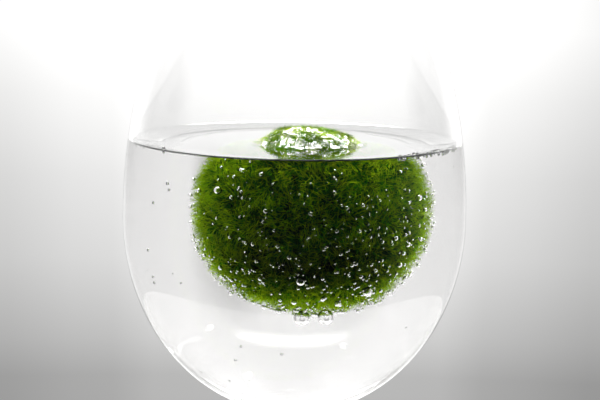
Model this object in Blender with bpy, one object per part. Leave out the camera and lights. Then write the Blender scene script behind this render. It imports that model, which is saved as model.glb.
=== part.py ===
"""A marimo moss ball floating in a stemmed glass of water.

Metres, +Z up. The glass stands on Z = 0 and is turned about the Z axis.
"""

import math

import bmesh
import bpy
from mathutils import Vector, noise

# The glass: a bowl of two half ellipses that meet at its widest level, on a stem and a foot.
RIM_Z = 0.214
WIDEST_Z = 0.153
BOWL_RADIUS = 0.045
BOWL_RISE = 0.085
BOWL_DEPTH = 0.052
WALL = 0.0012
FLOOR_THICKNESS = 0.0028
STEM_RADIUS = 0.0037
THROAT_RADIUS = 0.009
THROAT_LENGTH = 0.016
FOOT_RADIUS = 0.036
FOOT_RISE = 0.032
FOOT_EDGE = 0.0018
FOOT_SLOPE = 0.12
CONTACT_RING = 0.006
DOME_HEIGHT = 0.0022

# The water, and the clearance between pieces that touch.
WATER_Z = 0.1724
GAP = 0.0003

# The ball: a flattened ellipsoid with soft lumps. It floats a little off the axis.
BALL_CENTRE = Vector((0.0033, 0.0, 0.1552))
BALL_RADIUS = 0.0235
BALL_RISE = 0.0210
BALL_DEPTH = 0.0223
TOP_SQUARENESS = 2.5
BASE_SQUARENESS = 2.25
LUMP_HEIGHT = 0.0009
LUMPS_ACROSS = 2.6
LUMP_SEED = Vector((3.1, 7.4, 1.9))

# How finely curves are divided.
TURNS = 48
WALL_STEPS = 10
LIP_STEPS = 4
CURVE_STEPS = 7
BALL_DIVISIONS = 4


def clear_scene():
    for old in list(bpy.data.objects):
        bpy.data.objects.remove(old, do_unlink=True)


def material(name, colour, roughness, transmission=0.0, ior=1.45):
    made = bpy.data.materials.new(name)
    made.use_nodes = True
    shader = made.node_tree.nodes["Principled BSDF"]
    shader.inputs["Base Color"].default_value = (*colour, 1.0)
    shader.inputs["Roughness"].default_value = roughness
    shader.inputs["Metallic"].default_value = 0.0
    shader.inputs["Transmission Weight"].default_value = transmission
    shader.inputs["IOR"].default_value = ior
    made.diffuse_color = (*colour, 1.0)
    return made


def wall_semi_axis(above, inset, floor_inset):
    """Height of the wall's half ellipse above or below the widest level."""
    return BOWL_RISE - inset if above else BOWL_DEPTH - floor_inset


def wall_angle(z, inset, floor_inset):
    """Angle on the wall's ellipse, from the widest level, of the point at height z."""
    above = z > WIDEST_Z
    return math.asin((z - WIDEST_Z) / wall_semi_axis(above, inset, floor_inset))


def wall_points(low, high, inset, floor_inset):
    """(radius, z) points up the wall between two angles, a given way inside its outer face."""
    points = []
    for step in range(WALL_STEPS + 1):
        angle = low + (high - low) * step / WALL_STEPS
        semi_axis = wall_semi_axis(angle > 0, inset, floor_inset)
        radius = (BOWL_RADIUS - inset) * math.cos(angle)
        points.append((radius, WIDEST_Z + semi_axis * math.sin(angle)))
    return points


def wall_from_floor(top_z, inset, floor_inset):
    """The wall's points from the axis at the bowl's floor up to a height."""
    top = wall_angle(top_z, inset, floor_inset)
    lower = wall_points(-math.pi / 2, 0.0, inset, floor_inset)
    upper = wall_points(0.0, top, inset, floor_inset)
    return [(0.0, lower[0][1])] + lower[1:] + upper[1:]


def bezier(start, corner, end):
    """A curve from start to end, tangent to the lines that meet at the corner."""
    points = []
    for step in range(CURVE_STEPS + 1):
        t = step / CURVE_STEPS
        first = Vector(start).lerp(Vector(corner), t)
        second = Vector(corner).lerp(Vector(end), t)
        points.append(tuple(first.lerp(second, t)))
    return points


def lip_points(inner, outer):
    """The rim's rounded lip, from the inner wall over to the outer one."""
    middle = (inner[0] + outer[0]) / 2
    half_width = (outer[0] - inner[0]) / 2
    points = []
    for step in range(1, LIP_STEPS):
        angle = math.pi * (1 - step / LIP_STEPS)
        points.append((middle + half_width * math.cos(angle), inner[1] + WALL / 2 * math.sin(angle)))
    return points


def throat_points():
    """From the outside of the bowl's floor, inwards and down to the stem."""
    run = THROAT_RADIUS / BOWL_RADIUS
    start = (THROAT_RADIUS, WIDEST_Z - BOWL_DEPTH * math.sqrt(1 - run**2))
    slope = BOWL_DEPTH / BOWL_RADIUS * run / math.sqrt(1 - run**2)
    corner = (STEM_RADIUS, start[1] - slope * (THROAT_RADIUS - STEM_RADIUS))
    return bezier(start, corner, (STEM_RADIUS, start[1] - THROAT_LENGTH))


def foot_points():
    """From the stem out over the foot, round its edge and in under it to the axis."""
    edge = FOOT_EDGE / 2
    reach = FOOT_RADIUS - edge
    corner = (STEM_RADIUS, FOOT_EDGE + FOOT_SLOPE * (reach - STEM_RADIUS))
    points = bezier((STEM_RADIUS, FOOT_RISE), corner, (reach, FOOT_EDGE))
    for step in range(1, LIP_STEPS + 1):
        angle = math.pi / 2 - math.pi * step / LIP_STEPS
        points.append((reach + edge * math.cos(angle), edge + edge * math.sin(angle)))
    ring = reach - CONTACT_RING
    for step in range(CURVE_STEPS + 1):
        radius = ring * (1 - step / CURVE_STEPS)
        points.append((radius, DOME_HEIGHT * (1 - (radius / ring) ** 2)))
    return points


def glass_profile():
    """The glass in section: up the inside, over the lip, down the outside to the foot."""
    lip_z = RIM_Z - WALL / 2
    inside = wall_from_floor(lip_z, WALL, FLOOR_THICKNESS)
    join = -math.acos(THROAT_RADIUS / BOWL_RADIUS)
    outside = wall_points(0.0, wall_angle(lip_z, 0.0, 0.0), 0.0, 0.0)[::-1]
    outside += wall_points(join, 0.0, 0.0, 0.0)[::-1][1:]
    lip = lip_points(inside[-1], outside[0])
    return inside + lip + outside + throat_points()[1:] + foot_points()


def water_profile():
    """The water in section: out from the axis along its surface, then down the wall to the floor."""
    wall = wall_from_floor(WATER_Z, WALL + GAP, FLOOR_THICKNESS + GAP)
    return [(0.0, WATER_Z)] + wall[::-1]


def turned(name, profile, finish):
    """A solid made by turning a section about Z. The section runs down its outer side."""
    mesh = bpy.data.meshes.new(name)
    corners = [(radius, 0.0, z) for radius, z in profile]
    edges = [(index, index + 1) for index in range(len(corners) - 1)]
    mesh.from_pydata(corners, edges, [])
    made = bpy.data.objects.new(name, mesh)
    bpy.context.scene.collection.objects.link(made)
    screw = made.modifiers.new("turn", "SCREW")
    screw.axis = "Z"
    screw.steps = TURNS
    screw.render_steps = TURNS
    screw.use_merge_vertices = True
    screw.merge_threshold = 0.00001
    screw.use_smooth_shade = True
    mesh.materials.append(finish)
    return made


def ball_reach(direction):
    """Distance from the ball's middle to its surface along a unit direction."""
    half_height = BALL_RISE if direction.z > 0 else BALL_DEPTH
    power = TOP_SQUARENESS if direction.z > 0 else BASE_SQUARENESS
    across = math.hypot(direction.x, direction.y) / BALL_RADIUS
    upright = abs(direction.z) / half_height
    smooth = (across**power + upright**power) ** (-1 / power)
    return smooth + LUMP_HEIGHT * noise.noise(direction * LUMPS_ACROSS + LUMP_SEED)


def ball(name, growth, finish=None):
    """The ball's lumpy surface, moved outwards by a growth."""
    mesh = bpy.data.meshes.new(name)
    shape = bmesh.new()
    bmesh.ops.create_icosphere(shape, subdivisions=BALL_DIVISIONS, radius=1.0)
    for vertex in shape.verts:
        direction = vertex.co.normalized()
        vertex.co = BALL_CENTRE + direction * (ball_reach(direction) + growth)
    shape.to_mesh(mesh)
    shape.free()
    mesh.shade_smooth()
    made = bpy.data.objects.new(name, mesh)
    bpy.context.scene.collection.objects.link(made)
    if finish:
        mesh.materials.append(finish)
    return made


def hollow_for_ball(water):
    """Cuts the open-topped hollow that the ball floats in."""
    cutter = ball("ball_hollow_cutter", GAP)
    cutter.hide_render = True
    cutter.display_type = "WIRE"
    cut = water.modifiers.new("ball hollow", "BOOLEAN")
    cut.operation = "DIFFERENCE"
    cut.solver = "EXACT"
    cut.object = cutter


def main():
    clear_scene()
    clear_glass = material("glass", (0.96, 0.97, 0.97), 0.02, 1.0, 1.5)
    clear_water = material("water", (0.93, 0.95, 0.95), 0.0, 1.0, 1.333)
    moss = material("moss", (0.10, 0.20, 0.015), 0.85)
    turned("glass", glass_profile(), clear_glass)
    water = turned("water", water_profile(), clear_water)
    hollow_for_ball(water)
    ball("moss_ball", 0.0, moss)


main()
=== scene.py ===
"""Looks for a marimo moss ball that floats in a stemmed glass of water. Metres, +Z up.

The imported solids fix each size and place. This script turns the glass and the water again with fine,
smooth surfaces, grows the moss as thin filaments, adds the gas bubbles, and sets floor, light and camera.
A bearing is in degrees round from -Y, the front, towards +X.
"""

import math

import bmesh
import bpy
import numpy as np
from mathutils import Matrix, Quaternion, Vector
from mathutils.bvhtree import BVHTree


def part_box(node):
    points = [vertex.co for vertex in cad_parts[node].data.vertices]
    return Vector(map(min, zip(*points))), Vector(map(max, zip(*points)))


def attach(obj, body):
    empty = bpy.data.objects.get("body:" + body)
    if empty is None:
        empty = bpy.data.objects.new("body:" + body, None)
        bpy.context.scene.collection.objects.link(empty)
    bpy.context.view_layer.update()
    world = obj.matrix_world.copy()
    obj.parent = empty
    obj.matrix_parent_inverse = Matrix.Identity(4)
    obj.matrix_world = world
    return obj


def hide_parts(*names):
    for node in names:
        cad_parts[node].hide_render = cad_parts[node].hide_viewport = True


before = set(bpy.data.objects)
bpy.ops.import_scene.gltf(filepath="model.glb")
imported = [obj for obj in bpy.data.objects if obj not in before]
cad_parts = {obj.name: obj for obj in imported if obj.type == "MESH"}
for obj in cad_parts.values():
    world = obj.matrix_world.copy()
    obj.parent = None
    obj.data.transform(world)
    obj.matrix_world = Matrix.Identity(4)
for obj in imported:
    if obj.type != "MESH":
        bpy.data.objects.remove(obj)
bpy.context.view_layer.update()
GLASS_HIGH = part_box("glass")[1]
WATER_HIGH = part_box("water")[1]
BALL_LOW, BALL_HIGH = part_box("moss_ball")

# The glass: a bowl of two half ellipses that meet at its widest level, on a stem and a foot.
RIM_Z = GLASS_HIGH.z
RIM_RISE = 0.061
WIDEST_Z = RIM_Z - RIM_RISE
BOWL_RADIUS = GLASS_HIGH.x
BOWL_RISE = 0.085
BOWL_DEPTH = 0.052
WALL = 0.0012
FLOOR_THICKNESS = 0.0028
STEM_RADIUS = 0.0037
THROAT_RADIUS = 0.009
THROAT_LENGTH = 0.016
FOOT_RADIUS = 0.036
FOOT_RISE = 0.032
FOOT_EDGE = 0.0018
FOOT_SLOPE = 0.12
CONTACT_RING = 0.006
DOME_HEIGHT = 0.0022

# How finely the glass and the water are divided.
TURNS = 216
WALL_STEPS = 50
CURVE_STEPS = 20
LIP_STEPS = 8
SURFACE_RINGS = 140
RING_CROWDING = 1.25

# The water, whose surface climbs a little where it meets the glass and the moss.
WATER_Z = WATER_HIGH.z
CAPILLARY_LENGTH = 0.0027
MENISCUS_HEIGHT = 0.0011
CONTACT_Z = WATER_Z + MENISCUS_HEIGHT
WATER_INSET = 0.00002
WATER_TINT = (0.903, 0.902, 0.902)
WATER_DENSITY = 70.0

# Smooth noise is given as layers of (weight, wavelength, seed). Each layer sums this many sines.
SINES = 20
SEEDS = {
    "threads": 100, "fringe": 200, "tufts": 210, "haze": 220, "bubbles on moss": 300,
    "bubbles on glass": 310, "foam": 320,
}

# The film of water on the moss, which blends into the open water and shines in patches.
FILM_DEPTH = -0.0004
FILM_BLEND = 0.0011
FILM_LUMPS = ((0.00016, 0.0019, 5),)
FILM_PATCHES = ((1.0, 0.0045, 6), (0.5, 0.00225, 7))
FILM_PATCHES_OVER = -1.3
FILM_STARTS = 0.02
OPEN_WATER_ENDS = 0.05
FAR_EDGE_RISE = 0.00006

# Refractive indices. The film and the far edge have high ones, so that they shine white.
IOR_GLASS = 1.5
IOR_WATER = 1.333
IOR_WET_GLASS = IOR_GLASS / IOR_WATER
IOR_FILM = 9.0
IOR_FAR_EDGE = 9.0
GLASS_GLOSS = 0.15

# The moss: a dark lumpy body under several coats of fine filaments. Depths are from the CAD ball's surface.
BALL_CENTRE = (BALL_LOW + BALL_HIGH) / 2
BALL_RADIUS = (BALL_HIGH.x - BALL_LOW.x) / 2
SKIN_ROWS = 120
SKIN_COLUMNS = 240
SHOULDER = 52.0
SHOULDER_WIDTH = 9.0
SHOULDER_CUT = 0.0013
BODY_DEPTH = 0.0026
BODY_LUMPS = 0.0004
BODY_NOISE = ((1.0, 0.0045, 31), (0.6, 0.0018, 32))
BODY_DIVISIONS = 6
FAR_BELOW = 0.05

# Strands. ALONG is the place of each of their four points, from root, 0, to tip, 1. TAPER is the share of
# its width that a strand has at the first three. The tip is a point.
ALONG = np.linspace(0, 1, 4)[None, :, None]
TAPER = np.array((0.8, 1.0, 0.7))
WIDTH_RANGE = (0.6, 1.4)
COATS = 4
COAT_STRANDS = 20000
COAT_TOP = -0.0008
COAT_WIDTH = 0.00017
COAT_LENGTHS = (0.0013, 0.0030)
COAT_DRIFT = 0.009
COAT_TUFTS = ((0.8, 0.0050, 44), (0.5, 0.0022, 45))
FRINGE_STRANDS = 26000
FRINGE_WIDTH = 0.00010
FRINGE_LENGTHS = (0.0010, 0.0026)
FRINGE_DRIFT = 0.006
FRINGE_LOW = -0.0008
FRINGE_SPREAD = 0.0015
TUFT_STRANDS = 330
TUFT_HEIGHT = 0.0012
TUFT_ROOT = -0.0003
TUFT_WIDTH = 0.00015
HAZE_STRANDS = 2400
HAZE_HEIGHT = 0.0013
HAZE_OVER = 0.78

# Tufts that stand up through the film on top: (bearing, degrees up, radius in mm).
CAP_TUFTS = (
    (-38, 50, 2.2), (-27, 51, 2.2), (-18, 52, 1.8), (22, 51, 2.4), (30, 54, 1.8), (2, 60, 1.8),
    (12, 66, 1.4), (-12, 64, 1.4), (44, 60, 1.4), (-50, 60, 1.5), (-70, 66, 1.5), (80, 66, 1.5),
    (-5, 76, 1.5), (100, 78, 1.8), (170, 62, 2.4), (140, 66, 2.0), (-150, 64, 2.4), (-120, 70, 2.0),
    (180, 78, 2.0),
)

# Moss colours: tones for light that falls on it, and glows for light that comes through it.
DEEP = np.array((0.012, 0.070, 0.001))
GREEN = np.array((0.070, 0.330, 0.001))
# Olive of the patches of painted light.
PAINTED_LIGHT_OLIVE = np.array((0.250, 0.600, 0.002))
BROWN = np.array((0.100, 0.120, 0.020))
TIPS = np.array((0.15, 0.58, 0.002))
BODY_GLOW = np.array((0.02, 0.10, 0.001))
THREAD_GLOW = np.array((0.09, 0.44, 0.001))
FRINGE_GLOW = np.array((0.62, 0.92, 0.01))
TUFT_GLOW = np.array((0.05, 0.26, 0.001))
HAZE_GLOW = np.array((0.80, 0.92, 0.20))
TRANSLUCENCY = {"body": 0.1, "threads": 0.5, "fringe": 0.88, "tufts": 0.15, "haze": 0.85}
FRESH_NOISE = ((0.5, 0.010, 21), (0.45, 0.004, 22))
PAINTED_LIGHT_NOISE = ((0.45, 0.005, 23),)
RUSTY_NOISE = ((0.6, 0.005, 24),)

# Patches of (direction, width in degrees, strength): painted light on the sides, top and bottom, and one
# brown patch; then the band of painted shade low on the front.
PAINTED_LIGHT_PATCHES = (
    ((0.80, -0.35, 0.50), 60, 1.0), ((-0.90, -0.35, 0.20), 50, 0.9), ((-0.65, -0.45, 0.60), 45, 1.0),
    ((0.60, -0.40, 0.70), 45, 0.8), ((0.10, -0.50, -0.87), 34, 0.9), ((0.80, -0.20, -0.50), 40, 0.6),
    ((0.0, 0.6, 0.8), 60, 0.8),
)
RUSTY_PATCH = ((0.15, -1.0, 0.45), 28, 0.7)
SHADE_HEIGHT = -0.46
SHADE_WIDTH = 0.30
SHADE_DEPTH = 0.68
SHADE_FRONT = 1.3

# How finely bubbles are divided, by their size.
SMALL_DIVISIONS = 2
MIDDLE_DIVISIONS = 3
LARGE_DIVISIONS = 4

# Small bubbles on the moss, thickest where it faces down.
MOSS_BUBBLES = 1250
MOSS_BUBBLE_SIZE = 0.00025
MOSS_BUBBLE_RANGE = (0.00012, 0.0006)
MOSS_BUBBLE_NOISE = ((0.25, 0.012, 61),)
MOSS_BUBBLES_BELOW = 0.68
MOSS_BUBBLE_LIFT = 0.0002

# Larger bubbles on the moss: (bearing, degrees up, radius in mm).
LARGE_BUBBLES = (
    (-5, -32, 1.0), (46, -43, 1.1), (-56, 18, 0.9), (75, 13, 0.8), (-42, 31, 0.55), (-29, 30, 0.6),
    (-47, 27, 0.45), (-60, 31, 0.35), (15, 34, 0.35), (19, 32, 0.3), (-35, -83, 1.7), (60, -81, 1.7),
    (25, -52, 0.7), (12, -46, 0.5), (-12, -50, 0.6), (33, -30, 0.5), (8, -12, 0.45), (52, -8, 0.6),
    (-25, 3, 0.4), (20, 12, 0.5), (-30, -20, 0.45), (40, 15, 0.4), (62, -25, 0.6), (-62, -28, 0.5),
)

# Bubbles on the glass: (bearing, mm above the table, radius in mm). The pale ones, lit white by a painted
# glow, are on its far side.
WALL_BUBBLES = (
    (-46, 165.6, 0.45), (-45, 164.2, 0.4), (-53, 160.2, 0.4), (-56, 148, 0.4), (-55, 141.3, 0.4),
    (-55, 139.8, 0.4), (-75, 146, 0.35), (-75, 162.4, 0.35), (-20, 126.3, 0.35), (-4, 124.8, 0.4),
    (-24, 122.2, 0.35), (-33, 115.5, 0.3), (-50, 116.7, 0.4), (-66, 127, 0.4), (-68, 124, 0.35),
    (-60, 113, 0.4), (72, 136, 0.4), (70, 131, 0.35), (68, 126, 0.45), (66, 123, 0.35), (62, 119, 0.4),
    (58, 116, 0.45), (52, 113, 0.4), (45, 111, 0.45),
)
BUBBLE_TO_GLASS = 0.00004
SCATTERED_BUBBLES = 26
SCATTERED_RADII = (0.00012, 0.00030)
SCATTERED_HEIGHTS = (0.112, 0.170)
PAINTED_GLOW_BUBBLES = ((168, 124.5, 0.55), (199, 127.5, 0.55), (191, 120, 0.55))
PALE_THICKNESS = 0.0001
PALE_FROM_GLASS = 0.00012
# Strength of the painted glow that makes the far bubbles white.
PAINTED_GLOW = 3.0

# Foam at the waterline: runs of (first bearing, last bearing, count). Bubbles are under the line and drops
# over it, each between two heights in its own radius.
FOAM_RUNS = ((36, 80, 40), (-80, -48, 8))
FOAM_RADII = (0.0002, 0.0005)
FOAM_KINDS = (("bubbles", True, (-1.6, -1.1)), ("drops", False, (-0.2, 0.9)))

# A thin dark tube of painted shade along the front of the water's surface, between two bearings.
LINE_SPAN = (-92, 78)
LINE_THICKNESS = 0.00042
LINE_TO_GLASS = 0.00003
LINE_TAPER = 9
LINE_STEPS = 160
LINE_SIDES = 8
SHADE_LINE_COLOUR = (0.10, 0.12, 0.09)
LINE_ALPHA = 0.65

# The light: brightness by degrees above the horizon, and its share by degrees round from straight behind.
BACKDROP = (
    (-16.6, 0.44), (-13.9, 0.48), (-12.8, 0.61), (-11.6, 0.72), (-10.4, 0.83), (-8.0, 0.96), (-5.6, 1.17),
    (-3.6, 1.4), (0, 1.5), (8, 1.5),
)
BACKDROP_SIDES = (
    (-20, 0.62), (-8.8, 0.725), (-6.9, 0.83), (-5.6, 0.865), (-4.4, 1.0), (0, 1.05), (4.4, 1.0),
    (5.6, 0.85), (7.0, 0.78), (8.8, 0.67), (20, 0.58),
)
ROOM = ((-90, 1.2), (-40, 1.4), (-15, 1.5), (8.6, 1.45), (20, 1.45), (50, 1.45), (70, 1.5), (90, 1.5))
ROOM_SIDES = (
    (0, 1.0), (20, 1.0), (42, 0.85), (52, 0.70), (62, 0.5), (75, 0.30), (90, 0.13), (115, 0.04),
    (140, 0.02), (180, 0.02),
)
GLEAM = ((-90, 0.0), (5.3, 0.0), (6.1, 0.8), (7.2, 0.8), (8.0, 0.0), (90, 0.0))
GLEAM_SIDES = ((0, 1.0), (5, 1.0), (11, 0.0), (180, 0.0))
OVERHEAD = ((-90, 0.0), (46, 0.0), (60, 2.0), (90, 2.0))
SOFTBOX = ((-90, 0.0), (36, 0.0), (44, 12.0), (62, 12.0), (72, 0.0), (90, 0.0))
SOFTBOX_SIDES = ((0, 1.0), (35, 1.0), (52, 0.0), (180, 0.0))
LIGHT_COLOUR = (1.0, 0.997, 0.99, 1.0)

# Where the backdrop takes the place of the room, by height and by side.
BACKDROP_SHARE = ((-2, 1), (6, 0))
BACKDROP_SHARE_SIDES = ((0, 1), (9.5, 1), (18, 0), (30, 0))

# The floor, a plain disc that reaches further behind the glass than before it.
FLOOR_RADIUS = 0.28
FLOOR_SHIFT = 0.11
FLOOR_DROP = 0.0002
FLOOR_COLOUR = (0.72, 0.72, 0.715)
FLOOR_SIDES = 128

# The camera looks down a little, and is rolled slightly.
CAMERA_DISTANCE = 0.5
CAMERA_Z = 0.234
AIM = Vector((0.0014, 0.0, 0.1574))
LENS_MM = 115.5
SENSOR_MM = 36.0
CAMERA_ROLL = math.radians(0.85)


# ---------------------------------------------------------------- directions and noise


def unit(vectors):
    return vectors / np.linalg.norm(vectors, axis=-1, keepdims=True)


def random_directions(rng, count):
    return unit(rng.normal(size=(count, 3)))


def direction_of(bearing, elevation):
    """Unit vector by bearing and degrees up."""
    turn, up = math.radians(bearing), math.radians(elevation)
    return np.array((math.sin(turn) * math.cos(up), -math.cos(turn) * math.cos(up), math.sin(up)))


def waves(points, wavelength, seed):
    """Smooth noise of about unit size: a sum of sines in random directions. points is (n, 3)."""
    rng = np.random.default_rng(seed)
    pull = rng.normal(size=(SINES, 3))
    pull *= (rng.uniform(0.6, 1.4, SINES) / np.linalg.norm(pull, axis=1))[:, None]
    phase = rng.uniform(0, 2 * math.pi, SINES)
    return np.sin(points @ pull.T * (2 * math.pi / wavelength) + phase).sum(axis=1) * math.sqrt(2 / SINES)


def noise(points, layers):
    """Layers of (weight, wavelength, seed), added up."""
    return sum(weight * waves(points, wavelength, seed) for weight, wavelength, seed in layers)


def wave_vectors(points, wavelength, seeds):
    return np.stack([waves(points, wavelength, seed) for seed in seeds], axis=1)


# ---------------------------------------------------------------- meshes


def add_piece(mesh):
    piece = bpy.data.objects.new(mesh.name, mesh)
    bpy.context.scene.collection.objects.link(piece)
    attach(piece, "root")
    return piece


def mesh_of(name, points, faces):
    """A smooth mesh from an array of points and an array of faces that all have as many corners."""
    mesh = bpy.data.meshes.new(name)
    corners = faces.shape[1]
    mesh.vertices.add(len(points))
    mesh.vertices.foreach_set("co", np.asarray(points, np.float32).ravel())
    mesh.loops.add(faces.size)
    mesh.loops.foreach_set("vertex_index", np.asarray(faces, np.int32).ravel())
    mesh.polygons.add(len(faces))
    mesh.polygons.foreach_set("loop_start", np.arange(0, faces.size, corners, dtype=np.int32))
    mesh.polygons.foreach_set("use_smooth", np.full(len(faces), True))
    mesh.update(calc_edges=True)
    return mesh


def sphere(divisions):
    """(points, faces) of a unit sphere."""
    shape = bmesh.new()
    bmesh.ops.create_icosphere(shape, subdivisions=divisions, radius=1.0)
    points = np.array([vertex.co.normalized() for vertex in shape.verts])
    faces = np.array([[vertex.index for vertex in face.verts] for face in shape.faces])
    shape.free()
    return points, faces


def turned_points(section):
    """Each (radius, z) of a section turned into a ring of points about Z."""
    section = np.array(section)
    angles = np.arange(TURNS) * 2 * math.pi / TURNS
    around = np.stack([np.cos(angles), np.sin(angles)], axis=1)
    heights = np.repeat(section[:, None, 1:], TURNS, 1)
    return np.concatenate([section[:, :1, None] * around, heights], axis=2).reshape(-1, 3)


def neighbours():
    """Each point's place on a ring, and the place after it."""
    here = np.arange(TURNS)
    return here, (here + 1) % TURNS


def fan(first, second, tip):
    """Triangles from pairs of ring points to a tip."""
    return np.stack([first, second, np.full(len(first), tip)], axis=1).tolist()


def smooth_mesh(name, points, faces, kinds):
    """A smooth mesh of triangles and quads, with a material number for each face."""
    mesh = bpy.data.meshes.new(name)
    mesh.from_pydata(points.tolist(), [], faces)
    mesh.polygons.foreach_set("material_index", np.asarray(kinds, np.int32))
    mesh.polygons.foreach_set("use_smooth", np.full(len(faces), True))
    mesh.update()
    return mesh


def turned_mesh(name, section, kinds):
    """A solid made by turning a section about Z, with a kind for each span. Its two ends lie on the axis."""
    rings = section[1:-1]
    ends = [(0.0, 0.0, section[0][1]), (0.0, 0.0, section[-1][1])]
    points = np.concatenate([turned_points(rings), ends])
    ring = np.arange(len(rings) - 1)[:, None] * TURNS
    here, after = neighbours()
    quads = np.stack([ring + here, ring + TURNS + here, ring + TURNS + after, ring + after], axis=2)
    last = (len(rings) - 1) * TURNS
    faces = quads.reshape(-1, 4).tolist()
    faces += fan(here, after, len(points) - 2)
    faces += fan(last + after, last + here, len(points) - 1)
    in_face_order = kinds[1:-1] + [kinds[0], kinds[-1]]
    return smooth_mesh(name, points, faces, np.repeat(in_face_order, TURNS))


# ---------------------------------------------------------------- profiles


def wall_semi_axis(above, inset, floor_inset):
    """Height of the wall's half ellipse above or below the widest level."""
    return BOWL_RISE - inset if above else BOWL_DEPTH - floor_inset


def wall_angle(z, inset, floor_inset):
    """Angle on the wall's ellipse, from the widest level, of the point at height z."""
    return math.asin((z - WIDEST_Z) / wall_semi_axis(z > WIDEST_Z, inset, floor_inset))


def wall_radius(z):
    """Radius of the wall's inner face at height z."""
    return (BOWL_RADIUS - WALL) * math.cos(wall_angle(z, WALL, FLOOR_THICKNESS))


def wall_points(low, high, inset, floor_inset, steps):
    """(radius, z) points up the wall between two angles, a given way inside its outer face."""
    points = []
    for step in range(steps + 1):
        angle = low + (high - low) * step / steps
        semi_axis = wall_semi_axis(angle > 0, inset, floor_inset)
        points.append(((BOWL_RADIUS - inset) * math.cos(angle), WIDEST_Z + semi_axis * math.sin(angle)))
    return points


def wet_wall(inset):
    """The wall that the water touches, from the floor's middle up to the contact line."""
    inset, floor_inset = WALL + inset, FLOOR_THICKNESS + inset
    lower = wall_points(-math.pi / 2, 0.0, inset, floor_inset, WALL_STEPS)
    top = wall_angle(CONTACT_Z, inset, floor_inset)
    upper = wall_points(0.0, top, inset, floor_inset, WALL_STEPS // 2)
    return [(0.0, lower[0][1])] + lower[1:] + upper[1:]


def dry_wall(lip_z):
    """The inside of the wall from above the contact line up to the lip."""
    low = wall_angle(CONTACT_Z, WALL, FLOOR_THICKNESS)
    high = wall_angle(lip_z, WALL, FLOOR_THICKNESS)
    return wall_points(low, high, WALL, FLOOR_THICKNESS, WALL_STEPS // 2)[1:]


def bezier(start, corner, end):
    """A curve from start to end, tangent to the lines that meet at the corner."""
    points = []
    for step in range(CURVE_STEPS + 1):
        t = step / CURVE_STEPS
        first = Vector(start).lerp(Vector(corner), t)
        second = Vector(corner).lerp(Vector(end), t)
        points.append(tuple(first.lerp(second, t)))
    return points


def lip_points(inner, outer):
    """The rim's rounded lip, from the inner wall over to the outer one."""
    middle = (inner[0] + outer[0]) / 2
    half_width = (outer[0] - inner[0]) / 2
    points = []
    for step in range(1, LIP_STEPS):
        angle = math.pi * (1 - step / LIP_STEPS)
        points.append((middle + half_width * math.cos(angle), inner[1] + WALL / 2 * math.sin(angle)))
    return points


def throat_points():
    """From the outside of the bowl's floor, inwards and down to the stem."""
    run = THROAT_RADIUS / BOWL_RADIUS
    start = (THROAT_RADIUS, WIDEST_Z - BOWL_DEPTH * math.sqrt(1 - run**2))
    slope = BOWL_DEPTH / BOWL_RADIUS * run / math.sqrt(1 - run**2)
    corner = (STEM_RADIUS, start[1] - slope * (THROAT_RADIUS - STEM_RADIUS))
    return bezier(start, corner, (STEM_RADIUS, start[1] - THROAT_LENGTH))


def stem_points(top, bottom):
    """Even steps down the plain stem, without its two ends."""
    return [(STEM_RADIUS, top + (bottom - top) * step / CURVE_STEPS) for step in range(1, CURVE_STEPS)]


def foot_points():
    """From the stem out over the foot, round its edge and in under it to the axis."""
    edge = FOOT_EDGE / 2
    reach = FOOT_RADIUS - edge
    corner = (STEM_RADIUS, FOOT_EDGE + FOOT_SLOPE * (reach - STEM_RADIUS))
    points = bezier((STEM_RADIUS, FOOT_RISE), corner, (reach, FOOT_EDGE))
    for step in range(1, LIP_STEPS + 1):
        angle = math.pi / 2 - math.pi * step / LIP_STEPS
        points.append((reach + edge * math.cos(angle), edge + edge * math.sin(angle)))
    ring = reach - CONTACT_RING
    for step in range(CURVE_STEPS + 1):
        radius = ring * (1 - step / CURVE_STEPS)
        points.append((radius, DOME_HEIGHT * (1 - (radius / ring) ** 2)))
    return points


def glass_profile():
    """(points, kinds): the section up the inside, over the lip and down to the foot.

    A span's kind is 1 where it is under water and 0 where it is dry.
    """
    wet = wet_wall(0.0)
    lip_z = RIM_Z - WALL / 2
    dry = dry_wall(lip_z)
    join = -math.acos(THROAT_RADIUS / BOWL_RADIUS)
    outside = wall_points(0.0, wall_angle(lip_z, 0.0, 0.0), 0.0, 0.0, WALL_STEPS)[::-1]
    outside += wall_points(join, 0.0, 0.0, 0.0, WALL_STEPS)[::-1][1:]
    throat = throat_points()
    points = wet + dry + lip_points(dry[-1], outside[0]) + outside + throat[1:]
    points += stem_points(throat[-1][1], FOOT_RISE) + foot_points()
    kinds = [1 if index < len(wet) - 1 else 0 for index in range(len(points) - 1)]
    return points, kinds


# ---------------------------------------------------------------- materials


def shader_material(name):
    """(material, its shader)"""
    made = bpy.data.materials.new(name)
    made.use_nodes = True
    return made, made.node_tree.nodes["Principled BSDF"]


def clear_material(name, ior, specular=0.5):
    made, shader = shader_material(name)
    shader.inputs["Specular IOR Level"].default_value = specular
    shader.inputs["Base Color"].default_value = (1.0, 1.0, 1.0, 1.0)
    shader.inputs["Roughness"].default_value = 0.0
    shader.inputs["IOR"].default_value = ior
    shader.inputs["Transmission Weight"].default_value = 1.0
    return made


def unseen_material(name):
    """For the water's faces against the glass, where the glass's wet faces already bend the light."""
    made = clear_material(name, IOR_WATER)
    made.node_tree.nodes["Principled BSDF"].inputs["Alpha"].default_value = 0.0
    return made


def absorb(material, colour, density):
    """Fills what a material encloses with a tint."""
    tree = material.node_tree
    volume = tree.nodes.new("ShaderNodeVolumeAbsorption")
    volume.inputs["Color"].default_value = (*colour, 1.0)
    volume.inputs["Density"].default_value = density
    tree.links.new(volume.outputs[0], tree.nodes["Material Output"].inputs["Volume"])


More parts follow.
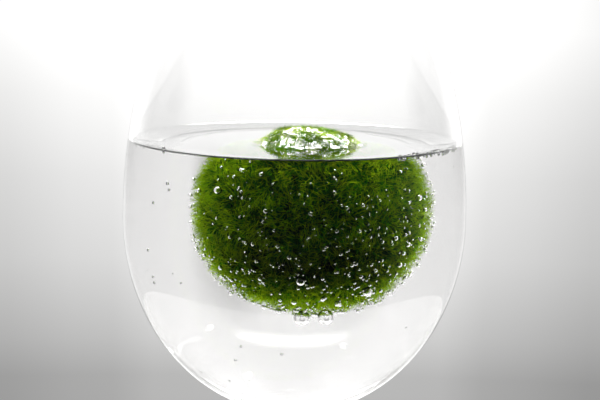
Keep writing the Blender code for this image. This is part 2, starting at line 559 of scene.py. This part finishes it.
def let_light_through(material, shader, share):
    """Mixes in a share of light that comes through the surface, and returns the node that colours it."""
    tree = material.node_tree
    through = tree.nodes.new("ShaderNodeBsdfTranslucent")
    both = tree.nodes.new("ShaderNodeMixShader")
    both.inputs[0].default_value = share
    tree.links.new(shader.outputs[0], both.inputs[1])
    tree.links.new(through.outputs[0], both.inputs[2])
    tree.links.new(both.outputs[0], tree.nodes["Material Output"].inputs["Surface"])
    return through


def moss_material(part):
    """Moss coloured by the mesh: its tone under light that falls on it, its glow under light from behind."""
    made, shader = shader_material(f"moss_{part}")
    shader.inputs["Roughness"].default_value = 0.9
    shader.inputs["Specular IOR Level"].default_value = 0.0
    through = let_light_through(made, shader, TRANSLUCENCY[part])
    tree = made.node_tree
    for layer, socket in (("tone", shader.inputs["Base Color"]), ("glow", through.inputs["Color"])):
        colour = tree.nodes.new("ShaderNodeVertexColor")
        colour.layer_name = layer
        tree.links.new(colour.outputs["Color"], socket)
    return made


def painted_glow_material():
    """White from a painted glow, an emission that stands in for the light behind, for the bubbles on the far
    side of the glass.
    """
    made, shader = shader_material("painted_glow_bubble")
    shader.inputs["Base Color"].default_value = (0.9, 0.9, 0.9, 1.0)
    shader.inputs["Emission Color"].default_value = (1.0, 1.0, 1.0, 1.0)
    shader.inputs["Emission Strength"].default_value = PAINTED_GLOW
    through = let_light_through(made, shader, 0.8)
    through.inputs["Color"].default_value = (1.0, 1.0, 0.98, 1.0)
    return made


# Painted shade: the dark, part-clear colour of the line at the water's front.
def shade_line_material():
    made, shader = shader_material("painted_shade_line")
    shader.inputs["Base Color"].default_value = (*SHADE_LINE_COLOUR, 1.0)
    shader.inputs["Roughness"].default_value = 0.6
    shader.inputs["Alpha"].default_value = LINE_ALPHA
    return made


# ---------------------------------------------------------------- glass and water


def build_glass():
    section, kinds = glass_profile()
    mesh = turned_mesh("glass_vessel", section, kinds)
    mesh.materials.append(clear_material("glass", IOR_GLASS, specular=GLASS_GLOSS))
    mesh.materials.append(clear_material("glass_under_water", IOR_WET_GLASS))
    piece = add_piece(mesh)
    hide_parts("glass")


def meniscus(distance):
    """Height of the water's surface above its level, at a distance from an upright wall."""
    heights = np.linspace(MENISCUS_HEIGHT, 1e-5, 400)
    ratio = heights / (2 * CAPILLARY_LENGTH)
    run = CAPILLARY_LENGTH * (np.arccosh(1 / ratio) - 2 * np.sqrt(1 - ratio**2))
    return np.interp(distance, run - run[0], heights, right=0.0)


def moss_tree(skin):
    """The moss's outer surface, for the water to lie on."""
    directions, faces = sphere(BODY_DIVISIONS)
    points = np.array(BALL_CENTRE) + directions * skin.reach(directions)[:, None]
    return BVHTree.FromPolygons(points.tolist(), faces.tolist())


def cap_heights(points, tree):
    """Height of the moss under each surface point, or far below where there is none."""
    heights = np.full(len(points), WATER_Z - FAR_BELOW)
    down = Vector((0.0, 0.0, -1.0))
    for index, (x, y, _) in enumerate(points):
        if math.hypot(x - BALL_CENTRE.x, y - BALL_CENTRE.y) > BALL_RADIUS:
            continue
        hit = tree.ray_cast(Vector((x, y, RIM_Z)), down)[0]
        if hit is not None:
            heights[index] = hit.z
    return heights


def water_surface(edge_radius, tree):
    """(points, lift) of the water's top, ring by ring from the contact line in, with the axis point last.

    The lift is 0 on open water and 1 where the water is a film on the moss.
    """
    share = np.linspace(0.0, 1.0, SURFACE_RINGS, endpoint=False)
    radii = edge_radius * (1 - share**RING_CROWDING)
    rings = turned_points(np.stack([radii, np.zeros(SURFACE_RINGS)], axis=1))
    points = np.concatenate([rings, [(0.0, 0.0, 0.0)]])
    level = WATER_Z + meniscus(edge_radius - np.hypot(points[:, 0], points[:, 1]))
    film = cap_heights(points, tree) + FILM_DEPTH + noise(points, FILM_LUMPS)
    lift = np.clip(0.5 + (film - level) / (2 * FILM_BLEND), 0, 1)
    points[:, 2] = level + (film - level) * lift + FILM_BLEND * lift * (1 - lift)
    return points, lift


def surface_kinds(top, lift, quads):
    """Material number of each quad of the water's top: 0 for open water, 2 for film and 3 for far edge."""
    film = (lift > FILM_STARTS) & (noise(top, FILM_PATCHES) > FILM_PATCHES_OVER)
    far_edge = (top[:, 1] > 0) & (lift < OPEN_WATER_ENDS) & (top[:, 2] > WATER_Z + FAR_EDGE_RISE)
    kinds = np.zeros(len(quads), np.int32)
    kinds[film[quads].all(axis=1)] = 2
    kinds[far_edge[quads].all(axis=1)] = 3
    return kinds


def build_water(tree):
    """The water's top, then its side down the wall, closed by a fan at each end of the axis."""
    wall = wet_wall(WATER_INSET)
    top, lift = water_surface(wall[-1][0], tree)
    side = wall[1:-1][::-1]
    points = np.concatenate([top, turned_points(side), [(0.0, 0.0, wall[0][1])]])
    here, after = neighbours()
    ring = np.arange(SURFACE_RINGS - 1)[:, None] * TURNS
    inward = np.stack([ring + here, ring + after, ring + TURNS + after, ring + TURNS + here], axis=2)
    inward = inward.reshape(-1, 4)
    innermost = (SURFACE_RINGS - 1) * TURNS
    starts = np.concatenate([[0], len(top) + np.arange(len(side)) * TURNS])[:, None]
    upper, lower = starts[:-1], starts[1:]
    down = np.stack([upper + after, upper + here, lower + here, lower + after], axis=2).reshape(-1, 4)
    lowest = int(starts[-1, 0])
    surface = inward.tolist() + fan(innermost + here, innermost + after, len(top) - 1)
    against_glass = down.tolist() + fan(lowest + after, lowest + here, len(points) - 1)
    kinds = np.concatenate(
        [surface_kinds(top, lift, inward), np.zeros(TURNS, np.int32), np.ones(len(against_glass), np.int32)]
    )
    mesh = smooth_mesh("water_body", points, surface + against_glass, kinds)
    mesh.materials.append(clear_material("water", IOR_WATER))
    mesh.materials.append(unseen_material("water_against_glass"))
    mesh.materials.append(clear_material("water_film", IOR_FILM))
    mesh.materials.append(clear_material("water_far_edge", IOR_FAR_EDGE))
    for material in mesh.materials:
        absorb(material, WATER_TINT, WATER_DENSITY)
    piece = add_piece(mesh)
    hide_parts("water")


# ---------------------------------------------------------------- moss


def cad_ball_tree():
    """The CAD ball's surface, for rays from its middle."""
    shape = bmesh.new()
    shape.from_mesh(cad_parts["moss_ball"].data)
    bmesh.ops.remove_doubles(shape, verts=shape.verts, dist=1e-6)
    tree = BVHTree.FromBMesh(shape)
    shape.free()
    return tree


class Skin:
    """The ball's outer surface as a distance from its middle, looked up by direction."""

    def __init__(self, tree):
        self.table = np.zeros((SKIN_ROWS + 1, SKIN_COLUMNS))
        for row in range(SKIN_ROWS + 1):
            tilt = math.pi * row / SKIN_ROWS
            for column in range(SKIN_COLUMNS):
                turn = 2 * math.pi * column / SKIN_COLUMNS
                across = math.sin(tilt)
                ray = Vector((across * math.cos(turn), across * math.sin(turn), math.cos(tilt)))
                self.table[row, column] = (tree.ray_cast(BALL_CENTRE, ray)[0] - BALL_CENTRE).length
        elevation = 90 - np.arange(SKIN_ROWS + 1) * 180 / SKIN_ROWS
        self.table -= SHOULDER_CUT * np.exp(-(((elevation - SHOULDER) / SHOULDER_WIDTH) ** 2))[:, None]

    def reach(self, directions):
        row = np.arccos(np.clip(directions[..., 2], -1, 1)) / math.pi * SKIN_ROWS
        turn = np.arctan2(directions[..., 1], directions[..., 0]) / (2 * math.pi)
        column = turn * SKIN_COLUMNS % SKIN_COLUMNS
        above = np.minimum(row.astype(int), SKIN_ROWS - 1)
        left = column.astype(int) % SKIN_COLUMNS
        right = (left + 1) % SKIN_COLUMNS
        down, along = row - above, column - column.astype(int)
        upper = self.table[above, left] * (1 - along) + self.table[above, right] * along
        lower = self.table[above + 1, left] * (1 - along) + self.table[above + 1, right] * along
        return upper * (1 - down) + lower * down

    def over(self, directions, heights):
        """Points at heights over the skin. Heights below zero are inside the ball."""
        return np.array(BALL_CENTRE) + directions * (self.reach(directions) + heights)[..., None]


def patch(directions, towards, width):
    """1 in the middle of a round patch that faces a direction, fading to 0 at its width in degrees."""
    facing = directions @ unit(np.array(towards, float))
    away = np.degrees(np.arccos(np.clip(facing, -1, 1)))
    fade = np.clip(1 - away / width, 0, 1)
    return fade * fade * (3 - 2 * fade)


def shading(directions):
    """(n,) share of light: 1 but for a band of painted shade low on the front."""
    band = np.exp(-(((directions[:, 2] - SHADE_HEIGHT) / SHADE_WIDTH) ** 2))
    return 1 - SHADE_DEPTH * band * np.clip(-SHADE_FRONT * directions[:, 1], 0, 1)


def moss_tones(directions):
    """(n, 3) colours of the moss by direction: dark green with brown patches, olive patches of painted light
    on its sides, top and bottom, and a band of painted shade low on the front.
    """
    points = directions * BALL_RADIUS
    fresh = np.clip(0.4 + noise(points, FRESH_NOISE), 0, 1.6)
    tones = DEEP + (GREEN - DEEP) * fresh[:, None]
    # Olive patches of painted light, where light falls on the sides, top and bottom.
    painted_light = np.zeros(len(directions))
    for towards, width, share in PAINTED_LIGHT_PATCHES:
        painted_light = np.maximum(painted_light, share * patch(directions, towards, width))
    painted_light *= np.clip(0.65 + noise(points, PAINTED_LIGHT_NOISE), 0, 1)
    tones += (PAINTED_LIGHT_OLIVE - tones) * painted_light[:, None]
    # Painted shade: the dim band low on the front.
    tones *= shading(directions)[:, None]
    towards, width, share = RUSTY_PATCH
    rusty = patch(directions, towards, width) * np.clip(0.3 + noise(points, RUSTY_NOISE), 0, 1)
    tones += (BROWN - tones) * (share * rusty)[:, None]
    return tones


def paint(mesh, tones, glows):
    for name, values in (("tone", tones), ("glow", glows)):
        layer = mesh.color_attributes.new(name, "FLOAT_COLOR", "POINT")
        colours = np.ones((len(values), 4), np.float32)
        colours[:, :3] = values
        layer.data.foreach_set("color", colours.ravel())


def body_mesh(skin):
    """The lumpy inside of the ball, which shows between the filaments: painted shade darkens it all over,
    and most in its hollows.
    """
    directions, faces = sphere(BODY_DIVISIONS)
    lumps = noise(directions * BALL_RADIUS, BODY_NOISE)
    mesh = mesh_of("moss_body", skin.over(directions, BODY_LUMPS * lumps - BODY_DEPTH), faces)
    # Painted shade: the body is darker than the strands, and darker still where its lumps sink in.
    tones = moss_tones(directions) * (0.45 + 0.2 * np.clip(lumps, -1, 1))[:, None]
    paint(mesh, tones, BODY_GLOW * shading(directions)[:, None])
    return mesh


def along_skin(vectors, roots):
    """Vectors without their part that points out of the ball at their roots."""
    return vectors - (vectors * roots).sum(1)[:, None] * roots


def random_sides(spines, rng):
    """A direction across each strand, for its flat width."""
    return unit(np.cross(unit(spines[:, 3] - spines[:, 0]), random_directions(rng, len(spines))))


def strand_mesh(name, spines, widths, sides, tones, glows):
    """Flat, pointed strands. spines and tones are (n, 4, 3), widths (n,), sides and glows (n, 3)."""
    count = len(spines)
    half = (widths / 2)[:, None, None] * sides[:, None, :] * TAPER[None, :, None]
    points = np.zeros((count, 7, 3))
    points[:, 0:6:2] = spines[:, :3] - half
    points[:, 1:6:2] = spines[:, :3] + half
    points[:, 6] = spines[:, 3]
    corners = np.array([(0, 1, 3), (0, 3, 2), (2, 3, 5), (2, 5, 4), (4, 5, 6)])
    faces = (np.arange(count) * 7)[:, None, None] + corners
    mesh = mesh_of(name, points.reshape(-1, 3), faces.reshape(-1, 3))
    colours = np.zeros((count, 7, 3))
    colours[:, 0:6:2] = tones[:, :3]
    colours[:, 1:6:2] = tones[:, :3]
    colours[:, 6] = tones[:, 3]
    paint(mesh, colours.reshape(-1, 3), np.repeat(glows, 7, axis=0))
    return mesh


def coat_of_strands(name, skin, rng):
    """Matted strands. Each runs along the ball, and rises towards the skin by its lift."""
    count = COAT_STRANDS
    roots = random_directions(rng, count)
    lengths = rng.uniform(*COAT_LENGTHS, count)
    lift = rng.beta(2.0, 2.5, count)
    points = roots * BALL_RADIUS
    drift = wave_vectors(points, COAT_DRIFT, (41, 42, 43)) + rng.normal(scale=0.9, size=(count, 3))
    drift = unit(along_skin(drift, roots))
    bend = np.cross(roots, drift) * rng.normal(scale=0.45, size=(count, 1))
    run = (lengths / BALL_RADIUS)[:, None, None]
    lying = np.sqrt(np.clip(1 - lift**2, 0.05, 1))[:, None, None]
    paths = unit(roots[:, None] + run * lying * ALONG * (drift[:, None] + ALONG * bend[:, None]))
    tufts = 0.5 + 0.5 * np.clip(noise(points, COAT_TUFTS), -1, 1)
    start = -BODY_DEPTH * rng.uniform(0.75, 1.1, count)
    top = COAT_TOP - BODY_DEPTH * (1 - tufts) * 0.6
    rise = start + (top - start) * np.clip(lift * lengths / BODY_DEPTH * 1.2, 0.15, 1)
    heights = start[:, None] + (rise - start)[:, None] * ALONG[..., 0] ** 0.8
    heights += 0.00012 * rng.normal(size=(count, 1)) * ALONG[..., 0]
    spines = skin.over(paths, heights)
    sides = random_sides(spines, rng)
    # Painted shade: darker towards the roots and where the coat lies low between tufts. Tips turn to the
    # paler TIPS green, and the extra on raised tufts is painted light.
    tones = moss_tones(roots)[:, None, :] * (0.25 + 1.1 * ALONG**1.3)
    tones *= (rng.lognormal(0, 0.45, size=count) * (0.35 + 1.1 * tufts))[:, None, None]
    tones += (TIPS - tones) * np.clip(ALONG - 0.55, 0, 1) * (0.2 + 0.7 * tufts**2)[:, None, None]
    widths = COAT_WIDTH * rng.uniform(*WIDTH_RANGE, count)
    glows = THREAD_GLOW * (shading(roots) * rng.lognormal(-0.1, 0.4, count))[:, None]
    return strand_mesh(name, spines, widths, sides, np.clip(tones, 0.002, 0.8), np.clip(glows, 0, 0.9))


def fringe_of_strands(name, skin, rng):
    """Fine, pale strands that stand out from the ball and catch the light at its edge."""
    count = FRINGE_STRANDS
    roots = random_directions(rng, count)
    lean = wave_vectors(roots * BALL_RADIUS, FRINGE_DRIFT, (51, 52, 53)) * 0.6
    lean = along_skin(lean + rng.normal(scale=0.8, size=(count, 3)), roots)
    curl = np.cross(roots, unit(lean)) * rng.normal(scale=0.5, size=(count, 1))
    lengths = rng.uniform(*FRINGE_LENGTHS, count)
    run = (lengths / BALL_RADIUS)[:, None, None]
    paths = unit(roots[:, None] + 0.8 * run * ALONG * (lean[:, None] + ALONG * curl[:, None]))
    tops = FRINGE_SPREAD * rng.beta(1.6, 1.6, count) + FRINGE_LOW
    start = np.maximum(-BODY_DEPTH, tops - lengths)
    spines = skin.over(paths, start[:, None] + (tops - start)[:, None] * ALONG[..., 0])
    sides = random_sides(spines, rng)
    # Painted shade: darker towards the roots.
    tones = moss_tones(roots)[:, None, :] * (0.4 + 0.6 * ALONG)
    tones *= rng.lognormal(0.3, 0.5, size=(count, 1, 1))
    widths = FRINGE_WIDTH * rng.uniform(*WIDTH_RANGE, count)
    glows = FRINGE_GLOW * shading(roots)[:, None]
    return strand_mesh(name, spines, widths, sides, np.clip(tones, 0.002, 0.9), glows)


def upright_strands(name, skin, roots, tops, width, glow, rng):
    """Strands that rise from inside the ball to heights over its skin, and lean at random."""
    count = len(roots)
    lean = along_skin(rng.normal(scale=0.5, size=(count, 3)), roots)
    start = np.full(count, -0.8 * BODY_DEPTH)
    run = ((tops - start) / BALL_RADIUS)[:, None, None]
    paths = unit(roots[:, None] + run * ALONG * lean[:, None] * (0.4 + ALONG))
    spines = skin.over(paths, start[:, None] + (tops - start)[:, None] * ALONG[..., 0])
    sides = random_sides(spines, rng)
    # Painted shade: darker towards the roots.
    tones = moss_tones(roots)[:, None, :] * (0.3 + 0.9 * ALONG) * rng.lognormal(0, 0.4, size=(count, 1, 1))
    widths = width * rng.uniform(*WIDTH_RANGE, count)
    glows = np.repeat(glow[None], count, axis=0)
    return strand_mesh(name, spines, widths, sides, np.clip(tones, 0.002, 0.8), glows)


def tufts_of_strands(name, skin, rng):
    """Upright strands in the listed tufts on the ball's top, tallest in the middle of each."""
    roots, rises = [], []
    for bearing, elevation, radius in CAP_TUFTS:
        way = direction_of(bearing, elevation)
        spread = rng.normal(scale=radius * 0.0005 / BALL_RADIUS, size=(TUFT_STRANDS, 3))
        near = unit(way + spread)
        away = np.linalg.norm(near - way, axis=1) * BALL_RADIUS / (radius * 0.001)
        roots.append(near)
        rises.append(np.exp(-(away**2)) * rng.uniform(0.5, 1.2, TUFT_STRANDS))
    tops = TUFT_HEIGHT * np.concatenate(rises) + TUFT_ROOT
    return upright_strands(name, skin, np.concatenate(roots), tops, TUFT_WIDTH, TUFT_GLOW, rng)


def haze_of_strands(name, skin, rng):
    """Long, sparse, pale strands on the ball's top."""
    roots = random_directions(rng, 8 * HAZE_STRANDS)
    roots = roots[roots[:, 2] > HAZE_OVER][:HAZE_STRANDS]
    tops = HAZE_HEIGHT * rng.beta(1.2, 2.2, len(roots))
    return upright_strands(name, skin, roots, tops, FRINGE_WIDTH, HAZE_GLOW, rng)


def build_moss(skin):
    body = body_mesh(skin)
    body.materials.append(moss_material("body"))
    piece = add_piece(body)
    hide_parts("moss_ball")
    threads = moss_material("threads")
    for coat in range(COATS):
        rng = np.random.default_rng(SEEDS["threads"] + coat)
        mesh = coat_of_strands(f"moss_threads_{coat + 1}", skin, rng)
        mesh.materials.append(threads)
        add_piece(mesh)
    grown_by = {"fringe": fringe_of_strands, "tufts": tufts_of_strands, "haze": haze_of_strands}
    for part, grow in grown_by.items():
        mesh = grow(f"moss_{part}", skin, np.random.default_rng(SEEDS[part]))
        mesh.materials.append(moss_material(part))
        add_piece(mesh)


# ---------------------------------------------------------------- bubbles


def bubble_mesh(name, centres, radii, divisions, hollow=True):
    """Gas bubbles as hollows in the water, so their faces point inwards. Drops are not hollow."""
    ball, faces = sphere(divisions)
    if hollow:
        faces = faces[:, ::-1]
    points = np.asarray(centres)[:, None] + ball * np.asarray(radii)[:, None, None]
    every = (np.arange(len(points)) * len(ball))[:, None, None] + faces
    mesh = mesh_of(name, points.reshape(-1, 3), every.reshape(-1, 3))
    mesh.materials.append(clear_material("gas_bubble" if hollow else "water_drop", IOR_WATER))
    return mesh


def bubbles_on_moss(skin):
    """Many small bubbles caught in the moss, thickest on its underside."""
    rng = np.random.default_rng(SEEDS["bubbles on moss"])
    roots = random_directions(rng, 3 * MOSS_BUBBLES)
    crowd = 0.35 + 0.65 * np.clip(0.4 - roots[:, 2], 0, 1) + noise(roots * BALL_RADIUS, MOSS_BUBBLE_NOISE)
    roots = roots[rng.uniform(0, 1.3, len(roots)) < crowd][:MOSS_BUBBLES]
    roots = roots[roots[:, 2] < MOSS_BUBBLES_BELOW]
    radii = np.clip(rng.lognormal(math.log(MOSS_BUBBLE_SIZE), 0.38, len(roots)), *MOSS_BUBBLE_RANGE)
    centres = skin.over(roots, radii * rng.uniform(-0.1, 1.1, len(roots)) + MOSS_BUBBLE_LIFT)
    add_piece(bubble_mesh("bubbles_on_moss", centres, radii, SMALL_DIVISIONS))


def large_bubbles(skin):
    ways = np.array([direction_of(bearing, elevation) for bearing, elevation, _ in LARGE_BUBBLES])
    radii = np.array([radius * 0.001 for _, _, radius in LARGE_BUBBLES])
    centres = skin.over(ways, radii / 2)
    add_piece(bubble_mesh("bubbles_large", centres, radii, LARGE_DIVISIONS))


def place_on_wall(bearing, z, radius):
    """Centre of a bubble that sits against the inside of the glass."""
    turn = math.radians(bearing)
    out = wall_radius(z) - radius - BUBBLE_TO_GLASS
    return (out * math.sin(turn), -out * math.cos(turn), z)


def wall_bubbles():
    """The listed bubbles on the glass, and a few small ones scattered over it."""
    centres, radii = [], []
    for bearing, height, radius in WALL_BUBBLES:
        centres.append(place_on_wall(bearing, height * 0.001, radius * 0.001))
        radii.append(radius * 0.001)
    rng = np.random.default_rng(SEEDS["bubbles on glass"])
    for _ in range(SCATTERED_BUBBLES):
        radius = rng.uniform(*SCATTERED_RADII)
        centres.append(place_on_wall(rng.uniform(0, 360), rng.uniform(*SCATTERED_HEIGHTS), radius))
        radii.append(radius)
    add_piece(bubble_mesh("bubbles_on_glass", centres, radii, MIDDLE_DIVISIONS))


def waterline_foam():
    """Short runs of bubbles under the contact line and drops over it."""
    rng = np.random.default_rng(SEEDS["foam"])
    for name, hollow, places in FOAM_KINDS:
        centres, radii = [], []
        for low, high, count in FOAM_RUNS:
            for _ in range(count):
                radius = rng.uniform(*FOAM_RADII)
                z = CONTACT_Z + radius * rng.uniform(*places)
                centres.append(place_on_wall(rng.uniform(low, high), z, radius))
                radii.append(radius)
        mesh = bubble_mesh(f"{name}_at_waterline", centres, radii, MIDDLE_DIVISIONS, hollow)
        add_piece(mesh)


def painted_glow_bubbles():
    """Flattened bubbles on the far side of the glass, made white by a painted glow that stands in for the
    light behind.
    """
    ball, faces = sphere(MIDDLE_DIVISIONS)
    points, every = [], []
    for index, (bearing, height, radius) in enumerate(PAINTED_GLOW_BUBBLES):
        turn = math.radians(bearing)
        centre = np.array(place_on_wall(bearing, height * 0.001, PALE_FROM_GLASS))
        across = np.array((math.cos(turn), math.sin(turn), 0.0)) * radius * 0.001
        upright = np.array((0.0, 0.0, 1.0)) * radius * 0.001
        thick = direction_of(bearing, 0) * PALE_THICKNESS
        points.append(centre + ball @ np.stack([across, upright, thick]))
        every.append(faces + index * len(ball))
    mesh = mesh_of("painted_glow_bubbles", np.concatenate(points), np.concatenate(every))
    mesh.materials.append(painted_glow_material())
    add_piece(mesh)


def painted_shade_line():
    """A thin dark tube of painted shade where the front of the water meets the glass, tapered to nothing at
    its ends.
    """
    low, high = LINE_SPAN
    spread = np.linspace(0, 1, LINE_STEPS)
    bearings = np.radians(low + (high - low) * spread)
    tubes = LINE_THICKNESS / 2 * np.clip(np.minimum(spread, 1 - spread) * LINE_TAPER, 0.02, 1)
    turns = np.arange(LINE_SIDES) * 2 * math.pi / LINE_SIDES
    out = wall_radius(CONTACT_Z) - LINE_THICKNESS / 2 - LINE_TO_GLASS
    reach = out + tubes[:, None] * np.cos(turns)
    points = np.zeros((LINE_STEPS, LINE_SIDES, 3))
    points[..., 0] = reach * np.sin(bearings)[:, None]
    points[..., 1] = -reach * np.cos(bearings)[:, None]
    points[..., 2] = CONTACT_Z + tubes[:, None] * np.sin(turns)
    ring = np.arange(LINE_STEPS - 1)[:, None] * LINE_SIDES
    here = np.arange(LINE_SIDES)
    after = (here + 1) % LINE_SIDES
    beyond = ring + LINE_SIDES
    faces = np.stack([ring + here, beyond + here, beyond + after, ring + after], axis=2)
    mesh = mesh_of("painted_shade_line", points.reshape(-1, 3), faces.reshape(-1, 4))
    mesh.materials.append(shade_line_material())
    add_piece(mesh)


# ---------------------------------------------------------------- stage, light and camera


def build_stage():
    mesh = bpy.data.meshes.new("floor")
    shape = bmesh.new()
    bmesh.ops.create_circle(shape, cap_ends=True, segments=FLOOR_SIDES, radius=FLOOR_RADIUS)
    shape.to_mesh(mesh)
    shape.free()
    made, shader = shader_material("pale_floor")
    shader.inputs["Base Color"].default_value = (*FLOOR_COLOUR, 1.0)
    shader.inputs["Roughness"].default_value = 0.7
    mesh.materials.append(made)
    floor = bpy.data.objects.new("floor", mesh)
    floor.location = (0.0, FLOOR_SHIFT, -FLOOR_DROP)
    bpy.context.scene.collection.objects.link(floor)


def grey(value):
    return (value, value, value, 1.0)


def build_world():
    """A white studio seen by direction: bright behind, a softbox above, and dim behind the camera."""
    world = bpy.data.worlds.new("studio")
    bpy.context.scene.world = world
    world.use_nodes = True
    tree = world.node_tree
    nodes, links = tree.nodes, tree.links
    nodes.clear()
    out = nodes.new("ShaderNodeOutputWorld")
    background = nodes.new("ShaderNodeBackground")
    background.inputs["Color"].default_value = LIGHT_COLOUR
    links.new(background.outputs[0], out.inputs[0])
    coords = nodes.new("ShaderNodeTexCoord")
    split = nodes.new("ShaderNodeSeparateXYZ")
    links.new(coords.outputs["Generated"], split.inputs[0])

    def calculate(operation, a, b=None):
        node = nodes.new("ShaderNodeMath")
        node.operation = operation
        for socket, value in zip(node.inputs, (a, b)):
            if isinstance(value, (int, float)):
                socket.default_value = value
            elif value is not None:
                links.new(value, socket)
        return node.outputs[0]

    def ramp(value, stops):
        """The value looked up on stops of (degrees, brightness)."""
        low, high = stops[0][0], stops[-1][0]
        most = max(level for _, level in stops)
        place = nodes.new("ShaderNodeMapRange")
        links.new(value, place.inputs["Value"])
        place.inputs["From Min"].default_value = low
        place.inputs["From Max"].default_value = high
        table = nodes.new("ShaderNodeValToRGB")
        elements = table.color_ramp.elements
        elements[1].color = grey(stops[-1][1] / most)
        elements[0].color = grey(stops[0][1] / most)
        for degrees, level in stops[1:-1]:
            elements.new((degrees - low) / (high - low)).color = grey(level / most)
        links.new(place.outputs[0], table.inputs[0])
        return calculate("MULTIPLY", table.outputs[0], most)

    def light(heights, sides, turn):
        return calculate("MULTIPLY", ramp(elevation, heights), ramp(turn, sides))

    def blend(share, first, second):
        node = nodes.new("ShaderNodeMix")
        node.data_type = "FLOAT"
        for socket, value in zip((node.inputs[0], node.inputs[2], node.inputs[3]), (share, first, second)):
            links.new(value, socket)
        return node.outputs[0]

    in_degrees = 180 / math.pi
    elevation = calculate("MULTIPLY", calculate("ARCSINE", split.outputs["Z"]), in_degrees)
    round_from_back = calculate("ARCTAN2", split.outputs["X"], split.outputs["Y"])
    side = calculate("MULTIPLY", round_from_back, in_degrees)
    either_side = calculate("ABSOLUTE", side)
    backdrop = light(BACKDROP, BACKDROP_SIDES, side)
    room = light(ROOM, ROOM_SIDES, either_side)
    softbox = light(SOFTBOX, SOFTBOX_SIDES, either_side)
    gleam = light(GLEAM, GLEAM_SIDES, either_side)
    overhead = calculate("ADD", ramp(elevation, OVERHEAD), gleam)
    room = calculate("ADD", calculate("ADD", room, softbox), overhead)
    share = light(BACKDROP_SHARE, BACKDROP_SHARE_SIDES, either_side)
    links.new(blend(share, room, backdrop), background.inputs["Strength"])


def build_camera():
    data = bpy.data.cameras.new("camera")
    data.lens = LENS_MM
    data.sensor_width = SENSOR_MM
    data.clip_start = 0.01
    camera = bpy.data.objects.new("camera", data)
    camera.location = (AIM.x, -CAMERA_DISTANCE, CAMERA_Z)
    direction = AIM - camera.location
    roll = Quaternion((0.0, 0.0, 1.0), CAMERA_ROLL)
    camera.rotation_mode = "QUATERNION"
    camera.rotation_quaternion = direction.to_track_quat("-Z", "Y") @ roll
    bpy.context.scene.collection.objects.link(camera)
    bpy.context.scene.camera = camera


def main():
    bpy.context.scene.view_settings.view_transform = "Standard"
    skin = Skin(cad_ball_tree())
    build_glass()
    build_water(moss_tree(skin))
    build_moss(skin)
    bubbles_on_moss(skin)
    large_bubbles(skin)
    wall_bubbles()
    waterline_foam()
    painted_shade_line()
    painted_glow_bubbles()
    build_stage()
    build_world()
    build_camera()


main()
